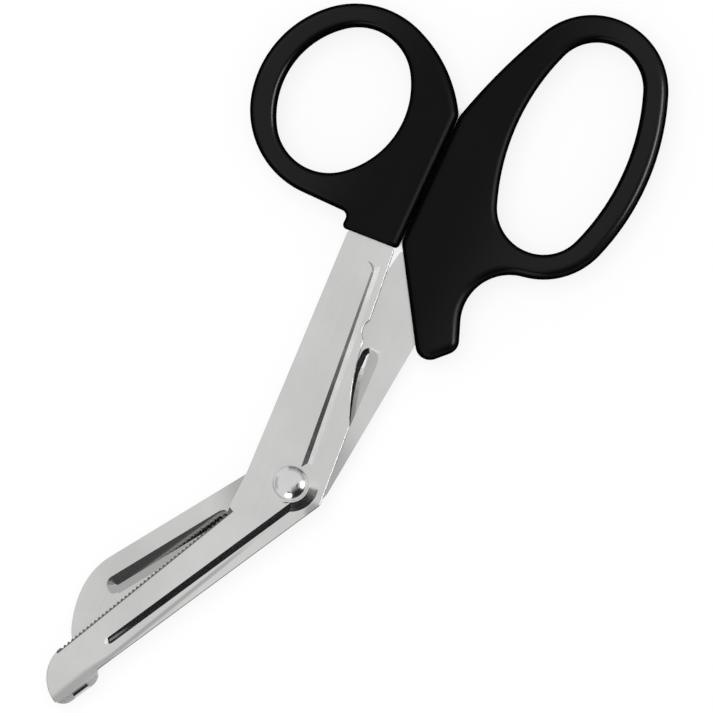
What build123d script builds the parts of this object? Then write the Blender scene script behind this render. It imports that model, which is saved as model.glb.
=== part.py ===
from build123d import *
import os
from math import atan2, cos, degrees, hypot, radians, sin

# Bandage scissors, closed and lying flat, in millimetres.
# Drawing frame: the pivot axis is x = y = 0, +X runs along the seam to the handles,
# +Y points to the thumb side, +Z is up, and the table is z = 0.

# Blade sheet
SHEET = 1.6                  # thickness of both stamped blades
BLADE_GAP = 0.1              # running gap between the two inner faces
EDGE_BREAK = 0.25            # rounding of the sheet's outer edges
RIB_HEIGHT = 1.0             # how far the pressed ribs and bosses stand out
RIB_CORNER = 1.9             # plan rounding of a rib's ends
JAW_FLANK = 1.4              # plan width of the front jaw rib's steep side
JAW_SLOPE = 3.4              # plan width of its gentle side
REAR_JAW_FLANK = 2.2
REAR_JAW_SLOPE = 1.6
SHANK_FLANK = 1.35
SHANK_SLOPE = 3.0
SHANK_RIB_START = 2.5        # pivot to the start of both shank ribs
FRONT_RIB_LEFT = 0.35        # height left at the handle end of the front shank's rib
REAR_RIB_LEFT = 0.85         # the same for the rear shank
EASE_OUT = 0.7               # low easing that runs out past the foot of the front shank's rib
EASE_WIDTH = 1.0             # plan width of its slope
EASE_HEIGHT = 0.21

# Jaws
JAW_ANGLE = 28.86            # bend between the handles' seam and the jaws
JAW_CORNER = (-1.69, -7.51)  # outer corner of the bend
EDGE_START = 16.2            # heel of the cutting edge, along the jaw from the corner
EDGE_LENGTH = 44.4           # cutting edge
JAW_WIDTH_HEEL = 10.2        # front jaw, back edge to cutting edge
JAW_WIDTH_TIP = 8.25
PADDLE = (6.0, 4.9)          # side of the rounded tip, past the cutting edge and from the back edge
EDGE_OVERLAP = 2.4           # how far the rear edge lies behind the front one when closed
EDGE_BEVEL = 1.1             # ground bevel on each cutting edge
EDGE_LAND = 0.55             # sheet left under the bevel
TOOTH_PITCH = 1.0
TOOTH_DEPTH = 0.45
FRONT_RIB_INSET = 2.75       # back edge to the foot of the front jaw's rib
FRONT_RIB_TIP = 7.6          # the rib stops this far before the end of the cutting edge
FRONT_RIB_HEEL = 3.0         # and this far from the outer corner of the bend
FRONT_RECESS_HEEL = 11.0     # the hollow behind it stops earlier, clear of the rivet
REAR_BACK_HEEL = (7.9, 14.3)       # ends of the rear jaw's straight back edge: along the jaw
REAR_BACK_TIP = (19.4, 17.3)       # from the bend or back from the edge's end, then across it
REAR_NOSE_UPPER = (11.1, 15.6)     # points of the round nose, back from the edge's end and across
REAR_NOSE_LOWER = (5.1, 11.1)
REAR_NOSE_BACK = 2.6               # the rear edge ends this far before the front one
REAR_EDGE_HEEL = 2.2               # and starts this far before it
REAR_RIB_INSET = 3.65
REAR_RIB_LAP = 3.8           # the rear rib starts this far past the straight back edge
REAR_RIB_LENGTH = 31.0       # from the end of the straight back edge towards the pivot
REAR_RECESS_LENGTH = 26.0

# Blunt foot on the front jaw
FOOT_BEND = 1.8              # outer radius of the bend
FOOT_BULGE = 2.0             # how far the foot stands out past the back edge
FOOT_LENGTH = 11.1
FOOT_LAP = 3.6               # length of the foot beside the cutting edge
FOOT_ROUND = 3.0             # rounding of the foot's free corners

# Pivot
PIVOT_D = 4.0                # rivet shank
RUN_CLEARANCE = 0.05         # radial, rear blade on the rivet
SEAT_CLEARANCE = 0.02        # radial, front blade and washer on the rivet
HEAD_D = 7.3
HEAD_HEIGHT = 1.85
BOSS_TOP_D = 7.9             # pressed boss round the rivet
BOSS_FOOT_D = 11.8
WASHER_D = 7.0
WASHER_T = 0.5
WASHER_GAP = 0.05
TAIL_D = 5.6                 # peened end
TAIL_HEIGHT = 0.8

# Shanks
SHANK_LENGTH = 53.2          # pivot to the mouth of the thumb handle
MOUTH_DEPTH = 2.8            # the blades' shoulders sit this deep in the handles
WAIST = (-1.39, 9.1)         # front blade's left side beside the pivot
WAIST_HEEL = (-8.2, 9.5)     # and where it runs into the jaw
FRONT_MOUTH_LEFT = (1.2, 10.97)    # front blade at the handle, back from the mouth and across
FRONT_MOUTH_RIGHT = (0.8, 0.54)
KNEE = (15.6, -6.3)          # front blade's right side above the bend
KNEE_SAG = 0.78              # hollow of its edge between the knee and the notch
NOTCH_BACK = 18.0            # middle of the notch, back from the mouth
NOTCH_LENGTH = 4.2
NOTCH_DEPTH = 0.85
NOTCH_LOW_Y = -1.5
NOTCH_HIGH_Y = -0.9
FRONT_TANG_Y = 5.9
FRONT_SHANK_RIB_Y = -2.36    # line of the front shank's rib beside the pivot
FRONT_SHANK_RIB_TURN = 5.65
FRONT_SHANK_RIB_BACK = 4.4   # the rib stops this far before the handle's mouth
FRONT_SHANK_RECESS = 9.0     # pivot to the start of the hollow behind it
HIP = (1.0, -7.85)           # rear blade's lower corner beside the pivot
HIP_HOLLOW = (-6.2, -3.2)    # rear blade's edge between the jaw and the hip
REAR_FLANK_LOW = (16.5, -11.5)     # rear blade's right side, back from the mouth and across
REAR_FLANK_HIGH = (3.0, -11.6)
REAR_MOUTH = (0.6, -0.66)
REAR_TANG_Y = -7.2
REAR_TANG_BACK = 1.0         # the rear blade's shoulder sits this much deeper
REAR_SHANK_RIB_Y = -2.1
REAR_SHANK_RIB_BACK = 20.8
REAR_SHANK_RECESS = 8.5

# Handles
HANDLE_T = 8.6
SEAM_GAP = 0.1               # between the handles' stop faces
SEAM_LENGTH = 30.2
EDGE_R = 2.6                 # rounding of the mouldings' outer edges
HOLE_EDGE_R = 2.05           # rounding round the finger holes
EDGE_SHARE = 0.54            # most of a loop's band that each rounding may take
HOLE_SHARE = 0.43
CORNER_R = 3.0               # plan rounding of the mouldings' outer corners
MOUTH_R = 0.9                # rounding round the thumb handle's mouth
MOUTH_TURN = 3.4             # the mouth is cut at this angle to the seam's square
STEP_R = 1.3                 # plan rounding of the inner corner beside the mouth
NECK_WIDTH = 12.5            # thumb handle beside its mouth
THUMB_HOLE_L = 32.1
THUMB_HOLE_W = 25.7
THUMB_HOLE_BULGE = 2.0       # how far the long sides bulge past the end arcs
THUMB_TILT = -10.5
THUMB_BACK = 2.4             # mouth to the lower outside of the thumb loop, along the seam
THUMB_WEB = 10.2             # seam to the thumb hole
THUMB_BAND_END = 4.85        # width of the loop at its ends and sides
THUMB_BAND_SIDE = 6.3
THUMB_LOOP_BULGE = 0.65
THUMB_LOOP_TILT = -18.2      # the outside of the thumb loop leans further than its hole
THUMB_DROP = 0.87            # and sits this much nearer the seam
THUMB_JOIN = -2.0            # where on the loop's end its side towards the seam begins, in degrees
FINGER_HOLE_L = 46.3
FINGER_HOLE_W = 24.1
FINGER_HOLE_BULGE = 2.45
FINGER_TILT = 0.5
FINGER_BACK = 5.4
FINGER_WEB = 11.6
FINGER_BAND_END = 5.2
FINGER_BAND_SIDE = 5.95
FINGER_LOOP_BULGE = 2.25
FINGER_LOOP_TILT = 1.4
FINGER_DROP = 0.54
FINGER_JOIN = 62.5
CROTCH = (8.2, -17.95)       # where the spur's side runs into the crotch, back from the mouth
SPUR_ANGLE = 21.0
SPUR_SIDE = 6.0              # straight side of the spur
SPUR_TOE = (20.1, -13.8)     # outer corner of the spur
FINGER_MOUTH_BACK = 1.7      # the finger handle's mouth starts this far past the thumb handle's
TANG_LENGTH = 17.0           # blade inside each handle, past its shoulder
TANG_WIDTH = 5.4
TANG_HOLE_D = 3.0            # the moulding flows through this hole and locks the tang

# Heights and places worked out from the sizes above
MID_Z = HANDLE_T / 2
FRONT_Z = MID_Z + BLADE_GAP / 2
REAR_Z = MID_Z - BLADE_GAP / 2
HEAD_Z = FRONT_Z + SHEET + RIB_HEIGHT
WASHER_TOP_Z = REAR_Z - SHEET - RIB_HEIGHT - WASHER_GAP
EDGE_END = EDGE_START + EDGE_LENGTH
FOOT_START = EDGE_END - FOOT_LAP
FOOT_END = FOOT_START + FOOT_LENGTH
SHOULDER_X = SHANK_LENGTH + MOUTH_DEPTH


def jaw(along, across):
    """Point of the closed jaws: along from the bend to the tip, across from the back edge."""
    a = radians(JAW_ANGLE)
    x = JAW_CORNER[0] - along * cos(a) + across * sin(a)
    y = JAW_CORNER[1] + along * sin(a) + across * cos(a)
    return (x, y)


def from_tip(point):
    """Point of the closed jaws: back from the end of the cutting edge, across from the back edge."""
    return jaw(EDGE_END - point[0], point[1])


def from_mouth(point):
    """Point beside the shanks: back from the mouth of the thumb handle, and across the seam."""
    return (SHANK_LENGTH - point[0], point[1])


def middle(start, end):
    return ((start[0] + end[0]) / 2, (start[1] + end[1]) / 2)


def along_line(start, end):
    """Place whose X axis runs from start to end."""
    turn = degrees(atan2(end[1] - start[1], end[0] - start[0]))
    return Pos(*start) * Rot(0, 0, turn)


def rib(start, end, flank, slope, side, left=RIB_HEIGHT):
    """Pressed rib on z = 0 from x = start to end: steep at y = 0, then falling gently to one side.

    Along the rib its height falls from the full one to what is left at its end."""
    width = 2 * flank + slope
    plan = Pos((start + end) / 2, side * width / 2) * RectangleRounded(end - start, width, RIB_CORNER)
    pad = extrude(plan, RIB_HEIGHT, taper=degrees(atan2(flank, RIB_HEIGHT)))
    fall = RIB_HEIGHT / slope
    roof = make_face(Polyline(
        (-side * flank, -width),
        (-side * flank, width * fall),
        (side * (width + flank), -2 * flank * fall),
        (side * (width + flank), -width),
        close=True,
    ))
    prism = extrude(Plane.YZ.offset(-width) * roof, end - start + 2 * width)
    sink = degrees(atan2(RIB_HEIGHT - left, end - start))
    return pad & (Pos(start) * Rot(0, sink, 0) * prism)


def rib_ease(start, end, flank, side):
    """Low easing along the foot of a rib's steep side, run out under the rib itself."""
    inside = flank + EASE_WIDTH
    plan = Pos((start + end) / 2, side * (inside - EASE_OUT) / 2) * Rectangle(end - start, inside + EASE_OUT)
    return extrude(plan, EASE_HEIGHT, taper=degrees(atan2(EASE_WIDTH, EASE_HEIGHT)))


def ground_edge(start, end, side):
    """Wedge ground off the outer face along the cutting edge from start to end."""
    length = hypot(end[0] - start[0], end[1] - start[1])
    drop = SHEET - EDGE_LAND
    section = make_face(Polyline(
        (-side * EDGE_BEVEL, SHEET),
        (side * EDGE_BEVEL, SHEET - 2 * drop),
        (side * EDGE_BEVEL, SHEET + drop),
        (-side * EDGE_BEVEL, SHEET + drop),
        close=True,
    ))
    prism = extrude(Plane.YZ.offset(-EDGE_BEVEL) * section, length + 2 * EDGE_BEVEL)
    return along_line(start, end) * prism


def stamped(plan, sharp):
    """Sheet cut to its plan, with its outer edges broken except the teeth and at the sharp points."""
    sheet = extrude(plan, SHEET)
    rim = sheet.faces().sort_by(Axis.Z)[-1].outer_wire().edges()
    for point in sharp:
        rim = [edge for edge in rim if edge.distance_to(Vector(*point, SHEET)) > EDGE_BREAK]
    return fillet([edge for edge in rim if edge.length > TOOTH_PITCH], EDGE_BREAK)


def boss(hole_radius):
    lean = degrees(atan2((BOSS_FOOT_D - BOSS_TOP_D) / 2, RIB_HEIGHT))
    cone = extrude(Circle(BOSS_FOOT_D / 2), RIB_HEIGHT, taper=lean)
    return cone - extrude(Circle(hole_radius), RIB_HEIGHT)


def tang():
    """Tongue of a blade inside its handle, along X from its shoulder, with its locking hole."""
    root = TANG_WIDTH / 2
    length = root + TANG_LENGTH
    plan = Pos(length / 2 - root) * chamfer(Rectangle(length, TANG_WIDTH).vertices(), TANG_WIDTH / 4)
    return plan - Pos(TANG_LENGTH - TANG_WIDTH) * Circle(TANG_HOLE_D / 2)


def shoulder(x, y, *sheet_end):
    """Blade inside its handle: it narrows from the sheet's end to the tang at x, y."""
    taper = make_face(Polyline(*sheet_end, (x, y + TANG_WIDTH / 2), (x, y - TANG_WIDTH / 2), close=True))
    return taper + Pos(x, y) * tang()


def front_blade():
    """Stamped blade on top: serrated jaw with a blunt foot, notched shank and thumb tang."""
    heel = jaw(EDGE_START, JAW_WIDTH_HEEL)
    end = jaw(EDGE_END, JAW_WIDTH_TIP)
    crease = FOOT_BEND - FOOT_BULGE
    teeth = round(EDGE_LENGTH / TOOTH_PITCH)
    edge = []
    for i in range(2 * teeth + 1):
        share = i / (2 * teeth)
        across = JAW_WIDTH_HEEL + (JAW_WIDTH_TIP - JAW_WIDTH_HEEL) * share
        depth = TOOTH_DEPTH if i % 2 else 0
        edge.append(jaw(EDGE_START + EDGE_LENGTH * share, across - depth))

    left = from_mouth(FRONT_MOUTH_LEFT)
    right = from_mouth(FRONT_MOUTH_RIGHT)
    notch_low = from_mouth((NOTCH_BACK + NOTCH_LENGTH / 2, NOTCH_LOW_Y))
    notch_high = from_mouth((NOTCH_BACK - NOTCH_LENGTH / 2, NOTCH_HIGH_Y))
    outline = [
        Polyline(*edge),
        ThreePointArc(end, jaw(EDGE_END + PADDLE[0], PADDLE[1]), jaw(FOOT_END, crease)),
        Polyline(jaw(FOOT_END, crease), jaw(FOOT_START, crease), jaw(FOOT_START, 0), JAW_CORNER, KNEE),
        SagittaArc(KNEE, notch_low, KNEE_SAG),
        SagittaArc(notch_low, notch_high, NOTCH_DEPTH),
        Polyline(notch_high, right, left, WAIST, WAIST_HEEL, heel),
    ]
    bore = PIVOT_D / 2 + SEAT_CLEARANCE
    crease_middle = jaw((FOOT_START + FOOT_END) / 2, crease)
    blade = stamped(make_face(outline) - Circle(bore), [crease_middle, heel, middle(left, right)])
    blade -= ground_edge(end, heel, 1)
    blade += extrude(shoulder(SHOULDER_X, FRONT_TANG_Y, right, left), SHEET)

    jaw_line = Pos(*jaw(0, FRONT_RIB_INSET)) * Rot(0, 0, -JAW_ANGLE)
    tip = FRONT_RIB_TIP - EDGE_END
    shank_line = Pos(0, FRONT_SHANK_RIB_Y) * Rot(0, 0, FRONT_SHANK_RIB_TURN)
    shank_end = SHANK_LENGTH - FRONT_SHANK_RIB_BACK
    blade += Pos(0, 0, SHEET) * jaw_line * rib(tip, -FRONT_RIB_HEEL, JAW_FLANK, JAW_SLOPE, 1)
    blade += Pos(0, 0, SHEET) * shank_line * rib(
        SHANK_RIB_START, shank_end, SHANK_FLANK, SHANK_SLOPE, 1, FRONT_RIB_LEFT)
    blade += Pos(0, 0, SHEET) * shank_line * rib_ease(SHANK_RIB_START, shank_end, SHANK_FLANK, 1)
    blade += Pos(0, 0, SHEET) * boss(bore)
    blade -= extrude(Circle(bore), SHEET + RIB_HEIGHT)
    blade -= jaw_line * rib(tip, -FRONT_RECESS_HEEL, JAW_FLANK, JAW_SLOPE, 1)
    blade -= shank_line * rib(
        FRONT_SHANK_RECESS, shank_end, SHANK_FLANK, SHANK_SLOPE, 1, FRONT_RIB_LEFT)

    bottom = -FRONT_Z
    centre = SHEET - FOOT_BEND
    inner = FOOT_BEND - SHEET
    section = make_face([
        Line((0, 0), (0, SHEET)),
        CenterArc((0, centre), FOOT_BEND, 90, 90),
        Polyline((-FOOT_BEND, centre), (-FOOT_BEND, bottom), (-inner, bottom), (-inner, centre)),
        CenterArc((0, centre), inner, 90, 90),
    ])
    flange = extrude(Plane.YZ.offset(-FOOT_END) * section, FOOT_LENGTH)
    mid = -FOOT_END + FOOT_LENGTH / 2
    side_height = 2 * (FRONT_Z + SHEET)
    side_view = Pos(mid, bottom + side_height / 2) * RectangleRounded(FOOT_LENGTH, side_height, FOOT_ROUND)
    top_width = 2 * (JAW_WIDTH_TIP + FOOT_BEND)
    top_view = Pos(mid, top_width / 2 - FOOT_BEND) * RectangleRounded(FOOT_LENGTH, top_width, FOOT_ROUND)
    flange = flange & extrude(Plane.XZ * side_view, top_width, both=True)
    flange = flange & extrude(top_view, side_height, both=True)
    blade += Pos(*jaw(0, crease)) * Rot(0, 0, -JAW_ANGLE) * flange
    return Pos(0, 0, FRONT_Z) * blade


def rear_blade():
    """Stamped blade below: plain round-nosed jaw, wide shank and finger tang."""
    back_start = jaw(*REAR_BACK_HEEL)
    back_end = from_tip(REAR_BACK_TIP)
    nose = from_tip((REAR_NOSE_BACK, JAW_WIDTH_TIP - EDGE_OVERLAP))
    heel = jaw(EDGE_START - REAR_EDGE_HEEL, JAW_WIDTH_HEEL - EDGE_OVERLAP)
    low = from_mouth(REAR_FLANK_LOW)
    mouth = from_mouth(REAR_MOUTH)
    outline = [
        Line(back_start, back_end),
        Spline(back_end, from_tip(REAR_NOSE_UPPER), from_tip(REAR_NOSE_LOWER), nose,
               tangents=(Vector(back_end) - Vector(back_start), Vector(jaw(0, 0)) - Vector(jaw(0, 1)))),
        Line(nose, heel),
        ThreePointArc(heel, HIP_HOLLOW, HIP),
        Polyline(HIP, low, mouth, back_start),
    ]
    bore = PIVOT_D / 2 + RUN_CLEARANCE
    blade = stamped(make_face(outline) - Circle(bore), [middle(nose, heel), middle(low, mouth)])
    blade -= ground_edge(nose, heel, -1)
    shoulder_x = SHOULDER_X + REAR_TANG_BACK
    blade += extrude(shoulder(shoulder_x, REAR_TANG_Y, from_mouth(REAR_FLANK_HIGH), low, mouth), SHEET)

    jaw_line = along_line(back_end, back_start) * Pos(0, -REAR_RIB_INSET)
    shank_line = Pos(0, REAR_SHANK_RIB_Y)
    shank_end = SHANK_LENGTH - REAR_SHANK_RIB_BACK
    blade += Pos(0, 0, SHEET) * jaw_line * rib(
        -REAR_RIB_LAP, REAR_RIB_LENGTH, REAR_JAW_FLANK, REAR_JAW_SLOPE, -1)
    blade += Pos(0, 0, SHEET) * shank_line * rib(
        SHANK_RIB_START, shank_end, SHANK_FLANK, SHANK_SLOPE, -1, REAR_RIB_LEFT)
    blade += Pos(0, 0, SHEET) * boss(bore)
    blade -= extrude(Circle(bore), SHEET + RIB_HEIGHT)
    blade -= jaw_line * rib(-REAR_RIB_LAP, REAR_RECESS_LENGTH, REAR_JAW_FLANK, REAR_JAW_SLOPE, -1)
    blade -= shank_line * rib(
        REAR_SHANK_RECESS, shank_end, SHANK_FLANK, SHANK_SLOPE, -1, REAR_RIB_LEFT)
    return Pos(0, 0, REAR_Z) * mirror(blade, about=Plane.XY)


def pivot_rivet():
    """Domed rivet: round head on the front boss, shank through both blades, peened tail below."""
    r = PIVOT_D / 2
    tail_z = WASHER_TOP_Z - WASHER_T
    sag = HEAD_HEIGHT
    head = HEAD_D / 2
    dome = (head ** 2 + sag ** 2) / (2 * sag)
    rise = HEAD_Z + sag - dome
    half = atan2(head, HEAD_Z - rise) / 2
    section = make_face([
        ThreePointArc((0, HEAD_Z + sag), (dome * sin(half), rise + dome * cos(half)), (head, HEAD_Z)),
        Polyline((head, HEAD_Z), (r, HEAD_Z), (r, tail_z), (TAIL_D / 2, tail_z),
                 (TAIL_D / 2 - TAIL_HEIGHT / 2, tail_z - TAIL_HEIGHT), (0, tail_z - TAIL_HEIGHT),
                 (0, HEAD_Z + sag)),
    ])
    return revolve(Plane.XZ * section, Axis.Z)


def pivot_washer():
    """Flat steel ring between the rear blade and the peened tail."""
    ring = Circle(WASHER_D / 2) - Circle(PIVOT_D / 2 + SEAT_CLEARANCE)
    return Pos(0, 0, WASHER_TOP_Z - WASHER_T) * extrude(ring, WASHER_T)


def oval(length, width, bulge):
    """Oval of four arcs lying along X: its end radius, its end centre's reach, and where two arcs join."""
    end_r = width / 2 - bulge
    reach = length / 2 - end_r
    side_r = (reach ** 2 + (width / 2) ** 2 - end_r ** 2) / (2 * bulge)
    lean = atan2(side_r - width / 2, reach)
    return end_r, reach, (reach + end_r * cos(lean), end_r * sin(lean))


def oval_face(length, width, bulge):
    x, y = oval(length, width, bulge)[2]
    return make_face([
        ThreePointArc((x, y), (0, width / 2), (-x, y)),
        ThreePointArc((-x, y), (-length / 2, 0), (-x, -y)),
        ThreePointArc((-x, -y), (0, -width / 2), (x, -y)),
        ThreePointArc((x, -y), (length / 2, 0), (x, y)),
    ])


def crotch_touch(start, normal, centre, radius):
    """Where the hollow arc that leaves start square to normal runs smoothly into a loop's end."""
    away = start - centre
    arc_r = (away.dot(away) - radius ** 2) / (2 * (radius - away.dot(normal)))
    hub = start + normal * arc_r
    return hub + (centre - hub).normalized() * arc_r


def flow(start, onward, *points):
    """Chain of arcs through the points, each running on smoothly from the one before."""
    chain = []
    for point in points:
        chain.append(TangentArc(start, point, tangent=onward))
        start = chain[-1] @ 1
        onward = chain[-1] % 1
    return chain


def moulded(plan, band):
    """Handle pressed from black plastic: its plan at full thickness with rounded edges."""
    body = extrude(plan, HANDLE_T)
    edge_r = min(EDGE_R, EDGE_SHARE * band)
    hole_r = min(HOLE_EDGE_R, HOLE_SHARE * band)
    for level in (0, -1):
        body = fillet(body.faces().sort_by(Axis.Z)[level].outer_wire().edges(), edge_r)
        body = fillet(body.faces().sort_by(Axis.Z)[level].inner_wires()[0].edges(), hole_r)
    return body


def thumb_handle(blade):
    """Black moulding with the round loop, cast over the front blade's tang."""
    seam = SEAM_GAP / 2
    hole_x = SHANK_LENGTH + THUMB_BACK + THUMB_BAND_END + THUMB_HOLE_L / 2
    hole_y = THUMB_WEB + THUMB_HOLE_W / 2
    loop = Pos(hole_x, hole_y - THUMB_DROP) * Rot(0, 0, THUMB_LOOP_TILT)
    length = THUMB_HOLE_L + 2 * THUMB_BAND_END
    width = THUMB_HOLE_W + 2 * THUMB_BAND_SIDE
    end_r, reach, (x, y) = oval(length, width, THUMB_LOOP_BULGE)
    far_end = (loop * Pos(reach)).position
    near_end = (loop * Pos(-reach)).position

    seam_top = (SHANK_LENGTH + SEAM_LENGTH, seam)
    outward = Vector(1, 0).rotate(Axis.Z, THUMB_LOOP_TILT + THUMB_JOIN)
    onward = outward.rotate(Axis.Z, 90)
    join = far_end + outward * end_r
    side_x = near_end.X - end_r
    neck_end = SHANK_LENGTH - 2 * CORNER_R
    step = (side_x, NECK_WIDTH)
    neck_corners = [(neck_end, NECK_WIDTH), (neck_end, seam)]
    plan = make_face([
        *flow(join, onward, (loop * Pos(x, y)).position, (loop * Pos(-x, y)).position, (side_x, near_end.Y)),
        Polyline((side_x, near_end.Y), step, *neck_corners, seam_top),
        TangentArc(join, seam_top, tangent=-onward),
    ])
    plan = fillet(plan.vertices().sort_by_distance(step)[0], STEP_R)
    for corner in (*neck_corners, seam_top):
        plan = fillet(plan.vertices().sort_by_distance(corner)[0], CORNER_R)
    plan -= Pos(hole_x, hole_y) * Rot(0, 0, THUMB_TILT) * oval_face(
        THUMB_HOLE_L, THUMB_HOLE_W, THUMB_HOLE_BULGE)
    body = moulded(plan, THUMB_BAND_END)

    waste = 2 * (NECK_WIDTH + HANDLE_T)
    mouth = Pos(SHANK_LENGTH, 0, MID_Z) * Rot(0, 0, MOUTH_TURN)
    body -= mouth * Box(waste, waste, waste, align=(Align.MAX, Align.CENTER, Align.CENTER))
    mouth_face = body.faces().sort_by_distance((mouth * Pos(0, NECK_WIDTH / 2)).position)[0]
    body = fillet(mouth_face.outer_wire().edges(), MOUTH_R)
    return body - blade


def finger_handle(blade):
    """Black moulding with the long loop and the spur below it, cast over the rear blade's tang."""
    seam = -SEAM_GAP / 2
    hole_x = SHANK_LENGTH + FINGER_BACK + FINGER_BAND_END + FINGER_HOLE_L / 2
    hole_y = -FINGER_WEB - FINGER_HOLE_W / 2
    loop = Pos(hole_x, hole_y + FINGER_DROP) * Rot(0, 0, FINGER_LOOP_TILT)
    length = FINGER_HOLE_L + 2 * FINGER_BAND_END
    width = FINGER_HOLE_W + 2 * FINGER_BAND_SIDE
    end_r, reach, (x, y) = oval(length, width, FINGER_LOOP_BULGE)
    far_end = (loop * Pos(reach)).position
    near_end = (loop * Pos(-reach)).position

    seam_top = (SHANK_LENGTH + SEAM_LENGTH, seam)
    outward = Vector(1, 0).rotate(Axis.Z, FINGER_LOOP_TILT + FINGER_JOIN)
    onward = outward.rotate(Axis.Z, -90)
    join = far_end + outward * end_r
    crotch = Vector(*from_mouth(CROTCH))
    spur = Vector(1, 0).rotate(Axis.Z, SPUR_ANGLE)
    crotch_end = crotch_touch(crotch, spur.rotate(Axis.Z, -90), near_end, end_r)
    heel = crotch - spur * SPUR_SIDE
    toe = Vector(*from_mouth(SPUR_TOE))
    mouth = Vector(SHANK_LENGTH + FINGER_MOUTH_BACK, seam)
    plan = make_face([
        *flow(join, onward, (loop * Pos(x, -y)).position, (loop * Pos(-x, -y)).position, crotch_end, crotch),
        Polyline(crotch, heel, toe, mouth, seam_top),
        TangentArc(join, seam_top, tangent=-onward),
    ])
    for corner in (heel, toe, mouth, seam_top):
        plan = fillet(plan.vertices().sort_by_distance(corner)[0], CORNER_R)
    plan -= Pos(hole_x, hole_y) * Rot(0, 0, FINGER_TILT) * oval_face(
        FINGER_HOLE_L, FINGER_HOLE_W, FINGER_HOLE_BULGE)
    return moulded(plan, FINGER_BAND_END) - blade


front = front_blade()
rear = rear_blade()
pieces = {
    "front_blade": front,
    "rear_blade": rear,
    "pivot_rivet": pivot_rivet(),
    "pivot_washer": pivot_washer(),
    "thumb_handle": thumb_handle(front),
    "finger_handle": finger_handle(rear),
}

# The part's origin is the middle of its footprint on the table.
box = Compound([*pieces.values()]).bounding_box()
place = Pos(-box.center().X, -box.center().Y, -box.min.Z)
os.makedirs("parts", exist_ok=True)
for name, piece in pieces.items():
    export_step(place * piece, f"parts/{name}.step")
print("pivot at", tuple(place.position), "size", tuple(box.size))
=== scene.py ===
from math import cos, radians, sin

import bmesh
import bpy
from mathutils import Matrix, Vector

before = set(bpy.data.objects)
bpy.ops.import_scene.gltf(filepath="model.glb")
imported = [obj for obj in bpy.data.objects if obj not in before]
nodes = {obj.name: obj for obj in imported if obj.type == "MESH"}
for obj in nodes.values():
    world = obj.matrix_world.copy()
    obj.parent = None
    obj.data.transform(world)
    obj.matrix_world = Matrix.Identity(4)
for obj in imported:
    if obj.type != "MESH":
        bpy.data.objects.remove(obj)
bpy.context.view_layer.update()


# The front blade is stamped from stainless sheet, with ribs and a boss pressed into
# it, a foot bent down at the tip and a row of teeth ground along the cutting edge.
# Tumbling leaves it a satin grey with fine hairlines, rougher at the foot and rib ends.
# The teeth, the fold along the jaw's back and a patch on the boss are painted darker,
# as painted shade.
def add_node(tree, kind, settings, **options):
    made = tree.nodes.new("ShaderNode" + kind)
    for option, choice in options.items():
        setattr(made, option, choice)
    for label, value in settings.items():
        if isinstance(value, bpy.types.NodeSocket):
            tree.links.new(value, made.inputs[label])
        else:
            made.inputs[label].default_value = value
    return made.outputs


def calculate(tree, operation, *values):
    return add_node(tree, "Math", dict(enumerate(values)), operation=operation)["Value"]


def product(tree, first, *others):
    for other in others:
        first = calculate(tree, "MULTIPLY", first, other)
    return first


def mixed(tree, first, share, second):
    return calculate(tree, "ADD", product(tree, first, share), product(tree, second, 1 - share))


def fade(tree, value, start, end, first=0.0, last=1.0):
    settings = {"Value": value, "From Min": start, "From Max": end, "To Min": first, "To Max": last}
    return add_node(tree, "MapRange", settings, interpolation_type="SMOOTHSTEP")["Result"]


def fade_out(tree, value, start, end):
    return fade(tree, value, start, end, 1.0, 0.0)


def noise(tree, place, scale, detail=2.0, roughness=0.5):
    settings = {"Vector": place, "Scale": scale, "Detail": detail, "Roughness": roughness}
    return add_node(tree, "TexNoise", settings)["Fac"]


LINE_STRETCH = (0.03, 1.0, 1.0)


def drawn_out(tree, place, turn=0.0):
    settings = {"Vector": place, "Rotation": (0, 0, radians(turn)), "Scale": LINE_STRETCH}
    return add_node(tree, "Mapping", settings)["Vector"]


HAIRLINE_SCALE, TUMBLE_SCALE, CLOUD_SCALE, SMEAR_SCALE = 1100, 2600, 45, 110
SCRATCH_SCALES_AND_TURNS = ((420, 24), (360, -58))
SCRATCH_STARTS, SCRATCH_FULL = 0.74, 0.8
SMEAR_STARTS, SMEAR_FULL = 0.35, 0.7
satin = bpy.data.node_groups.new("satin_steel", "ShaderNodeTree")
for label, kind in (("Place", "Vector"), ("Grain Turn", "Float"), ("Wear", "Float")):
    satin.interface.new_socket(label, in_out="INPUT", socket_type="NodeSocket" + kind)
for label in ("Tone", "Gloss Change", "Height"):
    satin.interface.new_socket(label, in_out="OUTPUT", socket_type="NodeSocketFloat")
given = satin.nodes.new("NodeGroupInput").outputs
result = satin.nodes.new("NodeGroupOutput").inputs
grain = {"Vector": given["Place"], "Angle": given["Grain Turn"]}
along_grain = add_node(satin, "VectorRotate", grain, rotation_type="Z_AXIS")["Vector"]
hairlines = noise(satin, drawn_out(satin, along_grain), HAIRLINE_SCALE, 3, 0.55)
tumbled = noise(satin, given["Place"], TUMBLE_SCALE)
cloud = noise(satin, given["Place"], CLOUD_SCALE, 3, 0.55)
smear = noise(satin, given["Place"], SMEAR_SCALE, 4, 0.6)
crossing = []
for scale, turn in SCRATCH_SCALES_AND_TURNS:
    line = noise(satin, drawn_out(satin, given["Place"], turn), scale, 1, 0.4)
    crossing.append(fade(satin, line, SCRATCH_STARTS, SCRATCH_FULL))
scratches = product(satin, calculate(satin, "MAXIMUM", *crossing), given["Wear"])
half_scratches = product(satin, scratches, 0.5)
fine = mixed(satin, hairlines, 0.6, tumbled)
smeared = fade(satin, smear, SMEAR_STARTS, SMEAR_FULL)
satin.links.new(mixed(satin, cloud, 0.8, fine), result["Tone"])
satin.links.new(calculate(satin, "ADD", smeared, half_scratches), result["Gloss Change"])
satin.links.new(calculate(satin, "SUBTRACT", fine, half_scratches), result["Height"])

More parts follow.
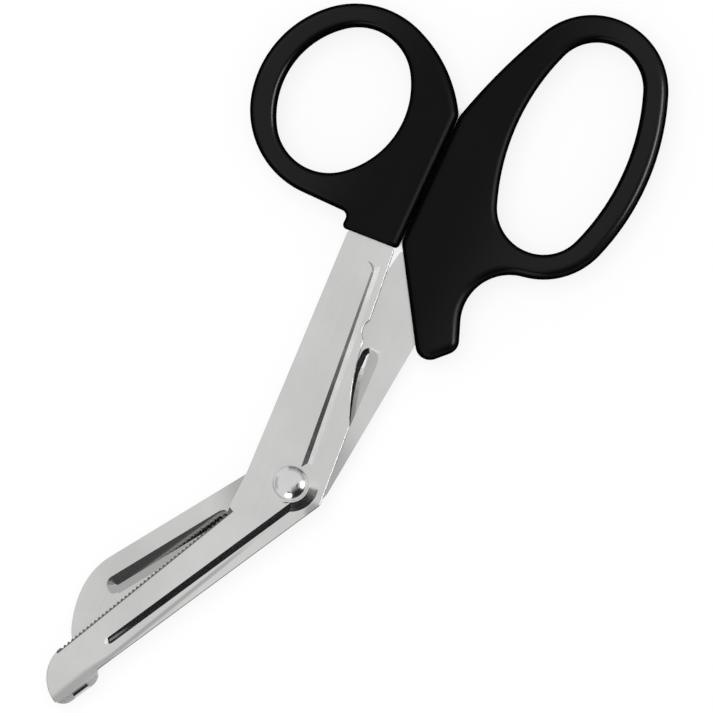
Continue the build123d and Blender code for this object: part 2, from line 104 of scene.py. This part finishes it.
DARK_BELOW, LIGHT_ABOVE = 0.3, 0.7


def tinted(tree, value, dark, light):
    made = tree.nodes.new("ShaderNodeValToRGB")
    first, last = made.color_ramp.elements
    first.position, last.position = DARK_BELOW, LIGHT_ABOVE
    first.color, last.color = (*dark, 1), (*light, 1)
    tree.links.new(value, made.inputs["Fac"])
    return made.outputs["Color"]


def relief(tree, height, strength, depth):
    settings = {"Height": height, "Strength": strength, "Distance": depth}
    return add_node(tree, "Bump", settings)["Normal"]


HAIRLINE_DEPTH = 0.00002


def steel(name, dark, light, roughness, hairline_strength, grain_turn=0.0, wear=1.0):
    material = bpy.data.materials.new(name)
    material.use_nodes = True
    tree = material.node_tree
    shader = tree.nodes["Principled BSDF"].inputs
    place = add_node(tree, "TexCoord", {}, name="place")["Object"]
    surface = add_node(tree, "Group", {}, node_tree=satin, name="surface")
    satin_inputs = tree.nodes["surface"].inputs
    tree.links.new(place, satin_inputs["Place"])
    satin_inputs["Grain Turn"].default_value = radians(grain_turn)
    satin_inputs["Wear"].default_value = wear
    tree.links.new(tinted(tree, surface["Tone"], dark, light), shader["Base Color"])
    tree.links.new(fade(tree, surface["Gloss Change"], 0, 1, *roughness), shader["Roughness"])
    hairline_relief = relief(tree, surface["Height"], hairline_strength, HAIRLINE_DEPTH)
    tree.links.new(hairline_relief, shader["Normal"])
    shader["Metallic"].default_value = 1.0
    return material


def tone_by(material, tone):
    tree = material.node_tree
    colour = tree.nodes["Principled BSDF"].inputs["Base Color"]
    settings = {0: colour.links[0].from_socket, "Scale": tone}
    tree.links.new(add_node(tree, "VectorMath", settings, operation="SCALE")["Vector"], colour)


def darken(material, where, tone):
    tone_by(material, fade(material.node_tree, where, 0, 1, 1.0, tone))


def roughen(material, where, roughness):
    tree = material.node_tree
    socket = tree.nodes["Principled BSDF"].inputs["Roughness"]
    worn = product(tree, where, roughness)
    tree.links.new(calculate(tree, "MAXIMUM", socket.links[0].from_socket, worn), socket)


# Painted shade: darkens the colour round a point, in full inside inner and fading out by outer.
def painted_shade_patch(material, centre, inner, outer, tone):
    tree = material.node_tree
    ends = {0: tree.nodes["place"].outputs["Object"], 1: centre}
    away = add_node(tree, "VectorMath", ends, operation="DISTANCE")["Value"]
    tone_by(material, fade(tree, away, inner, outer, tone, 1.0))


def split(tree, vector):
    return add_node(tree, "SeparateXYZ", {"Vector": vector})


def dot(tree, vector, direction):
    return add_node(tree, "VectorMath", {0: vector, 1: direction}, operation="DOT_PRODUCT")["Value"]


def flat_from(tree, point):
    x, y = point
    settings = {0: tree.nodes["place"].outputs["Object"], 1: (1, 1, 0), 2: (-x, -y, 0)}
    return add_node(tree, "VectorMath", settings, operation="MULTIPLY_ADD")["Vector"]


def length(tree, vector):
    return add_node(tree, "VectorMath", {0: vector}, operation="LENGTH")["Value"]


def measured(tree, start, turn):
    settings = {"Vector": flat_from(tree, start), "Angle": -turn}
    return split(tree, add_node(tree, "VectorRotate", settings, rotation_type="Z_AXIS")["Vector"])


def dress(piece, material):
    nodes[piece].data.materials.clear()
    nodes[piece].data.materials.append(material)


SATIN_ROUGHNESS = (0.16, 0.22)
SATIN_HAIRLINES = 0.14
FRONT_DARK, FRONT_LIGHT = (0.53, 0.53, 0.525), (0.63, 0.63, 0.625)
front_steel = steel(
    "front_blade_steel", FRONT_DARK, FRONT_LIGHT, SATIN_ROUGHNESS, SATIN_HAIRLINES, grain_turn=-6
)
tree = front_steel.node_tree
spot = split(tree, tree.nodes["place"].outputs["Object"])
slope = split(tree, tree.nodes["place"].outputs["Normal"])["Z"]
SLOPING_BELOW, FLAT_ABOVE = 0.96, 0.99
STEEP_BELOW, GENTLE_ABOVE = 0.9, 0.935
sloping = fade_out(tree, slope, SLOPING_BELOW, FLAT_ABOVE)
steep = fade_out(tree, slope, STEEP_BELOW, GENTLE_ABOVE)

# Painted shade: the lower part of the ground bevel along the teeth is painted dark.
TEETH_FACING = (0.32, 0.61, 0.72)
BEVEL_STARTS, BEVEL_FULL = 0.95, 0.98
TEETH_DARK_BELOW, TEETH_LIGHT_ABOVE = 0.00535, 0.00555
TEETH_PAINTED_SHADE = 0.2
likeness = dot(tree, tree.nodes["place"].outputs["Normal"], TEETH_FACING)
ground = fade(tree, likeness, BEVEL_STARTS, BEVEL_FULL)
low = fade_out(tree, spot["Z"], TEETH_DARK_BELOW, TEETH_LIGHT_ABOVE)
darken(front_steel, product(tree, ground, low), TEETH_PAINTED_SHADE)

# Painted shade: a dark line is painted along the fold at the foot and on along the back of the jaw,
# narrower on the jaw and fading out towards the pivot.
FOLD_START, FOLD_TURN = (-0.0834, 0.0228), radians(-26.4)
FOLD_AT_FOOT, FOLD_AT_JAW = 0.0019, 0.0007
FOOT_END, JAW_START = -0.08, -0.074
FOLD_FADES, FOLD_ENDS = -0.052, -0.034
FOLD_PAINTED_SHADE = 0.66
off_fold = calculate(tree, "ABSOLUTE", measured(tree, FOLD_START, FOLD_TURN)["Y"])
fold_width = fade(tree, spot["X"], FOOT_END, JAW_START, FOLD_AT_FOOT, FOLD_AT_JAW)
fold_painted_shade = fade_out(tree, calculate(tree, "DIVIDE", off_fold, fold_width), 0.1, 1.0)
fold_painted_shade = product(tree, fold_painted_shade, fade_out(tree, spot["X"], FOLD_FADES, FOLD_ENDS))
darken(front_steel, fold_painted_shade, FOLD_PAINTED_SHADE)

FOOT_MIDDLE, FOOT_TURN = (-0.08385, 0.02122), radians(-29.1)
FOOT_POLISHED, FOOT_WORN = 0.0015, 0.0022
FOOT_FADES, FOOT_STARTS = -0.0796, -0.0792
FOOT_ROUGHNESS = 0.75
off_middle = calculate(tree, "ABSOLUTE", measured(tree, FOOT_MIDDLE, FOOT_TURN)["X"])
foot_ends = fade(tree, off_middle, FOOT_POLISHED, FOOT_WORN)
on_foot = fade_out(tree, spot["X"], FOOT_FADES, FOOT_STARTS)
roughen(front_steel, product(tree, foot_ends, on_foot, sloping), FOOT_ROUGHNESS)

JAW_RIB_END, JAW_RIB_TURN = (-0.07223, 0.02021), radians(-29.7)
JAW_RIB_STARTS, JAW_RIB_POLISHED = 0.0004, 0.01
JAW_RIB_CORE, JAW_RIB_SIDE = 0.0001, 0.0005
JAW_RIB_ROUGHNESS = 0.5
jaw_rib = measured(tree, JAW_RIB_END, JAW_RIB_TURN)
rib_end = product(
    tree,
    fade(tree, jaw_rib["X"], 0.0, JAW_RIB_STARTS),
    fade_out(tree, jaw_rib["X"], JAW_RIB_STARTS, JAW_RIB_POLISHED),
    fade_out(tree, calculate(tree, "ABSOLUTE", jaw_rib["Y"]), JAW_RIB_CORE, JAW_RIB_SIDE),
)
roughen(front_steel, product(tree, rib_end, sloping), JAW_RIB_ROUGHNESS)

SHANK_RIB_END = (0.02103, 0.00369)
SHANK_RIB_INNER, SHANK_RIB_OUTER = 0.0012, 0.0018
SHANK_RIB_ROUGHNESS = 0.9
from_rib_end = length(tree, flat_from(tree, SHANK_RIB_END))
rib_end = fade_out(tree, from_rib_end, SHANK_RIB_INNER, SHANK_RIB_OUTER)
roughen(front_steel, product(tree, rib_end, steep), SHANK_RIB_ROUGHNESS)

# Painted shade: a dark patch is painted on the boss at its corner by the pivot.
BOSS_CORNER = (-0.0302, -0.0069, 0.00595)
painted_shade_patch(front_steel, BOSS_CORNER, inner=0.0009, outer=0.0024, tone=0.6)
dress("front_blade", front_steel)


# The rear blade is stamped from the same stainless sheet and lies under the front
# one; its steel is set a little darker, as painted shade. Its pressed ribs show from
# above as round-ended hollows whose sloping walls are painted darker as painted shade,
# and round the pivot the steel is darker, partly wear where the two blades rub and
# partly painted shade from the front blade.
REAR_DARK_WITH_PAINTED_SHADE, REAR_LIGHT_WITH_PAINTED_SHADE = (0.51, 0.51, 0.505), (0.61, 0.61, 0.605)
rear_steel = steel("rear_blade_steel", REAR_DARK_WITH_PAINTED_SHADE, REAR_LIGHT_WITH_PAINTED_SHADE, SATIN_ROUGHNESS, SATIN_HAIRLINES)
# Painted shade with wear: the rear blade is painted darker round the pivot, where the front blade
# shades it and the two blades rub.
PIVOT_RUBBED_AND_SHADED = (-0.0269, -0.0002, 0.00425)
painted_shade_patch(rear_steel, PIVOT_RUBBED_AND_SHADED, inner=0.009, outer=0.018, tone=0.72)

# Painted shade: sloping faces such as the walls of the hollows are painted darker, cut off to round
# ends.
HOLLOW_PAINTED_SHADE = 0.68
JAW_HOLLOW_END = ((-0.061901, 0.024002), (-0.9943, -0.1095, 0), 0.00114)
SHANK_HOLLOW_END = ((0.003129, -0.004139), (0.7708, -0.6372, 0), 0.00196)
HOLLOW_EDGE = 0.0001
HOLLOW_BELOW, RIM_ABOVE = 0.93, 0.98
ROUND_STARTS, ROUND_FULL = 0.5, 0.65
tree = rear_steel.node_tree
facing = split(tree, tree.nodes["place"].outputs["Normal"])["Z"]
hollow_painted_shade = fade_out(tree, calculate(tree, "ABSOLUTE", facing), HOLLOW_BELOW, RIM_ABOVE)
for centre, to_corner, radius in (JAW_HOLLOW_END, SHANK_HOLLOW_END):
    from_end = flat_from(tree, centre)
    in_round = fade_out(tree, length(tree, from_end), radius, radius + HOLLOW_EDGE)
    along = dot(tree, from_end, to_corner)
    off_corner = fade_out(tree, along, ROUND_STARTS * radius, ROUND_FULL * radius)
    hollow_painted_shade = product(tree, hollow_painted_shade, calculate(tree, "MAXIMUM", in_round, off_corner))
darken(rear_steel, hollow_painted_shade, HOLLOW_PAINTED_SHADE)
dress("rear_blade", rear_steel)


# The pivot is a polished stainless rivet with a domed head. It is peened over
# a thin flat washer behind the rear blade, so the blades turn but stay together.
RIVET_DARK, RIVET_LIGHT = (0.58, 0.58, 0.58), (0.66, 0.66, 0.66)
RIVET_ROUGHNESS = (0.17, 0.21)
RIVET_HAIRLINES = 0.03
rivet_steel = steel(
    "polished_rivet_steel", RIVET_DARK, RIVET_LIGHT, RIVET_ROUGHNESS, RIVET_HAIRLINES, wear=0.4
)
dress("pivot_rivet", rivet_steel)
dress("pivot_washer", rivet_steel)


# The two handles are black plastic, moulded straight onto the blades' tangs.
# The mould is smooth, so they have a soft sheen with a faint orange-peel skin.
# Hands have polished the loops, and the plain stocks by the seam are duller.
PLASTIC_DARK, PLASTIC_LIGHT = (0.0015, 0.0015, 0.0017), (0.0025, 0.0025, 0.0028)
PLASTIC_ROUGHNESS = (0.2, 0.27)
STOCK_ROUGHNESS = 0.4
STOCK_ENDS, LOOP_STARTS = 0.015, 0.024
STOCK_SHINE, LOOP_SHINE = 0.07, 0.18
SHINE_STARTS, SHINE_FULL = 0.008, 0.028
WALL_BELOW, TOP_ABOVE = 0.6, 0.8
SKIN_SCALE, PEEL_SCALE, TOUCH_SCALE = 1400, 260, 60
PEEL_STRENGTH, PEEL_DEPTH = 0.25, 0.00003
plastic = bpy.data.materials.new("black_moulded_plastic")
plastic.use_nodes = True
tree = plastic.node_tree
shader = tree.nodes["Principled BSDF"].inputs
coords = add_node(tree, "TexCoord", {}, name="place")
skin = noise(tree, coords["Object"], SKIN_SCALE)
peel = noise(tree, coords["Object"], PEEL_SCALE)
touched = noise(tree, coords["Object"], TOUCH_SCALE, 4, 0.6)
tree.links.new(tinted(tree, touched, PLASTIC_DARK, PLASTIC_LIGHT), shader["Base Color"])
touched_gloss = fade(tree, touched, DARK_BELOW, LIGHT_ABOVE, *PLASTIC_ROUGHNESS)
tree.links.new(touched_gloss, shader["Roughness"])
orange_peel = calculate(tree, "ADD", product(tree, skin, 0.4), peel)
tree.links.new(relief(tree, orange_peel, PEEL_STRENGTH, PEEL_DEPTH), shader["Normal"])
off_axis = calculate(tree, "ABSOLUTE", split(tree, coords["Object"])["Y"])
level = calculate(tree, "ABSOLUTE", split(tree, coords["Normal"])["Z"])
shine = fade(tree, off_axis, SHINE_STARTS, SHINE_FULL, STOCK_SHINE, LOOP_SHINE)
shine = product(tree, shine, fade(tree, level, WALL_BELOW, TOP_ABOVE))
tree.links.new(shine, shader["Specular IOR Level"])
roughen(plastic, fade_out(tree, off_axis, STOCK_ENDS, LOOP_STARTS), STOCK_ROUGHNESS)
dress("thumb_handle", plastic)
dress("finger_handle", plastic)


# The camera looks straight down on the closed scissors, as in the photograph,
# with the jaws to the lower left. A long lens keeps the view flat.
VIEW_TURN = radians(-65.3)
VIEW_CENTRE = Vector((0.00254, -0.00169, 0.0043))
VIEW_WIDTH = 0.1473
VIEW_HEIGHT = 1.6
camera = bpy.data.objects.new("camera", bpy.data.cameras.new("camera"))
camera.data.sensor_width = 36
camera.data.lens = camera.data.sensor_width * VIEW_HEIGHT / VIEW_WIDTH
camera.data.clip_end = 20
camera.location = VIEW_CENTRE + Vector((0, 0, VIEW_HEIGHT))
camera.rotation_euler = (0, 0, VIEW_TURN)
bpy.context.scene.collection.objects.link(camera)
bpy.context.scene.camera = camera
photo_right = Vector((cos(VIEW_TURN), sin(VIEW_TURN), 0))
photo_up = Vector((-sin(VIEW_TURN), cos(VIEW_TURN), 0))


# The scissors lie on a plain white table that runs on behind them. It shows
# white to the camera and in the steel, keeps a soft shadow under the handles,
# and goes dark where the narrow seam between them shuts out the light.
def shows_background(tree):
    path = add_node(tree, "LightPath", {})
    seen = calculate(tree, "MAXIMUM", path["Is Camera Ray"], path["Is Glossy Ray"])
    return calculate(tree, "MAXIMUM", seen, path["Is Transmission Ray"])


TABLE_SIZE = 4.0
TABLE_GAP = 0.00005
TABLE_GREY, TABLE_GLOW = 0.95, 1.02
GLOW_SHARE = 0.82
SEAM_REACH = 0.004
SEAM_DARK, SEAM_OPEN = 0.1, 0.25
mesh = bpy.data.meshes.new("table_top")
top = bmesh.new()
bmesh.ops.create_grid(top, x_segments=1, y_segments=1, size=TABLE_SIZE)
bmesh.ops.translate(top, verts=top.verts, vec=(0, 0, -TABLE_GAP))
top.to_mesh(mesh)
top.free()
floor = bpy.data.objects.new("table_top", mesh)
bpy.context.scene.collection.objects.link(floor)
white = bpy.data.materials.new("white_table")
white.use_nodes = True
tree = white.node_tree
tree.nodes.clear()
open_sky = add_node(tree, "AmbientOcclusion", {"Distance": SEAM_REACH}, samples=16)["AO"]
grey = fade(tree, open_sky, SEAM_DARK, SEAM_OPEN, 0.0, TABLE_GREY)
glow = fade(tree, open_sky, SEAM_DARK, SEAM_OPEN, 0.0, TABLE_GLOW)
lit = add_node(tree, "BsdfDiffuse", {"Color": grey})["BSDF"]
glowing = add_node(tree, "Emission", {"Strength": glow})["Emission"]
share = product(tree, shows_background(tree), GLOW_SHARE)
surface = add_node(tree, "MixShader", {0: share, 1: lit, 2: glowing})["Shader"]
add_node(tree, "OutputMaterial", {"Surface": surface})
floor.data.materials.append(white)


# Plain studio light: a white room and one wide softbox overhead light everything
# evenly. Three small lamps to the right and in front only put the highlights on
# the rivet's dome and on the rounded edges of the handles.
ROOM_LIGHT, ROOM_SEEN = 0.55, 1.0
world = bpy.data.worlds.new("white_room")
bpy.context.scene.world = world
world.use_nodes = True
tree = world.node_tree
room = tree.nodes["Background"].inputs
room["Color"].default_value = (1, 1, 1, 1)
tree.links.new(fade(tree, shows_background(tree), 0, 1, ROOM_LIGHT, ROOM_SEEN), room["Strength"])


def studio_direction(azimuth, from_zenith):
    a, z = radians(azimuth), radians(from_zenith)
    return sin(z) * (cos(a) * photo_right + sin(a) * photo_up) + Vector((0, 0, cos(z)))


def shine_only_on(emitter, pieces):
    lit = bpy.data.collections.new(emitter.name + "_shines_on")
    for piece in pieces:
        lit.objects.link(nodes[piece])
    emitter.light_linking.receiver_collection = lit


def softbox(name, azimuth, from_zenith, distance, width, height, watts, shines_on=()):
    light = bpy.data.lights.new(name, "AREA")
    light.shape = "RECTANGLE"
    light.size, light.size_y = width, height
    light.energy = watts
    lamp = bpy.data.objects.new(name, light)
    toward = studio_direction(azimuth, from_zenith)
    lamp.location = VIEW_CENTRE + toward * distance
    lamp.rotation_euler = toward.to_track_quat("Z", "Y").to_euler()
    lamp.visible_camera = False
    lamp.visible_glossy = bool(shines_on)
    lamp.visible_diffuse = not shines_on
    if shines_on:
        shine_only_on(lamp, shines_on)
    bpy.context.scene.collection.objects.link(lamp)


LAMP_DISTANCE = 0.9
softbox(
    "overhead_softbox", azimuth=135, from_zenith=15, distance=1.2, width=1.0, height=1.0, watts=8
)
softbox(
    "right_rivet_light", azimuth=-10, from_zenith=68, distance=LAMP_DISTANCE,
    width=0.45, height=0.35, watts=1.6, shines_on=("pivot_rivet",),
)
softbox(
    "front_rivet_light", azimuth=-98, from_zenith=68, distance=LAMP_DISTANCE,
    width=0.4, height=0.35, watts=1.4, shines_on=("pivot_rivet",),
)
softbox(
    "right_handle_light", azimuth=-8, from_zenith=66, distance=LAMP_DISTANCE,
    width=0.55, height=0.18, watts=5, shines_on=("thumb_handle", "finger_handle"),
)


# Paper cards and two glowing panels stand round the table, and only shiny surfaces
# see them. The dark cards draw the sides of the ribs and the boss, the far grey ones
# the teeth and rims, and the bright panel the white edge of the front blade.
def card_material(name, brightness):
    made = bpy.data.materials.new(name)
    made.use_nodes = True
    tree = made.node_tree
    tree.nodes.clear()
    glow = add_node(tree, "Emission", {"Strength": brightness})["Emission"]
    add_node(tree, "OutputMaterial", {"Surface": glow})
    return made


CARD_DISTANCE, PANEL_DISTANCE = 1.0, 1.1
CARD_STEP = 6


def studio_card(name, material, azimuths, from_zenith, distance=CARD_DISTANCE):
    first, last = azimuths
    steps = max(2, round((last - first) / CARD_STEP))
    turns = [first + (last - first) * i / steps for i in range(steps + 1)]
    mesh = bpy.data.meshes.new(name)
    card = bmesh.new()
    top, foot = (
        [card.verts.new(VIEW_CENTRE + studio_direction(turn, z) * distance) for turn in turns]
        for z in from_zenith
    )
    for i in range(steps):
        card.faces.new((top[i], top[i + 1], foot[i + 1], foot[i]))
    card.to_mesh(mesh)
    card.free()
    made = bpy.data.objects.new(name, mesh)
    made.data.materials.append(material)
    made.visible_camera = False
    made.visible_diffuse = False
    made.visible_shadow = False
    bpy.context.scene.collection.objects.link(made)
    return made


black = card_material("black_card", 0.02)
dark_grey = card_material("dark_grey_card", 0.22)
mid_grey = card_material("grey_card", 0.55)
far_grey = card_material("far_grey_card", 0.6)
bright = card_material("bright_panel", 8)
pale = card_material("pale_panel", 1.4)
studio_card("rib_card", black, azimuths=(-88, -17), from_zenith=(50, 90))
studio_card("boss_card", black, azimuths=(-108, -88), from_zenith=(46, 64))
studio_card("dark_grey_card", dark_grey, azimuths=(-84, -36), from_zenith=(38, 50))
studio_card("grey_card", mid_grey, azimuths=(-80, -36), from_zenith=(24, 38))
studio_card("left_card", far_grey, azimuths=(156, 204), from_zenith=(72, 90))
studio_card("back_card", far_grey, azimuths=(10, 98), from_zenith=(72, 90))
right_panel = studio_card(
    "right_panel", bright, azimuths=(-36, -5), from_zenith=(33, 45), distance=PANEL_DISTANCE
)
shine_only_on(right_panel, ("front_blade",))
studio_card(
    "front_panel", pale, azimuths=(-116, -90), from_zenith=(66, 84), distance=PANEL_DISTANCE
)

bpy.context.scene.view_settings.view_transform = "Standard"
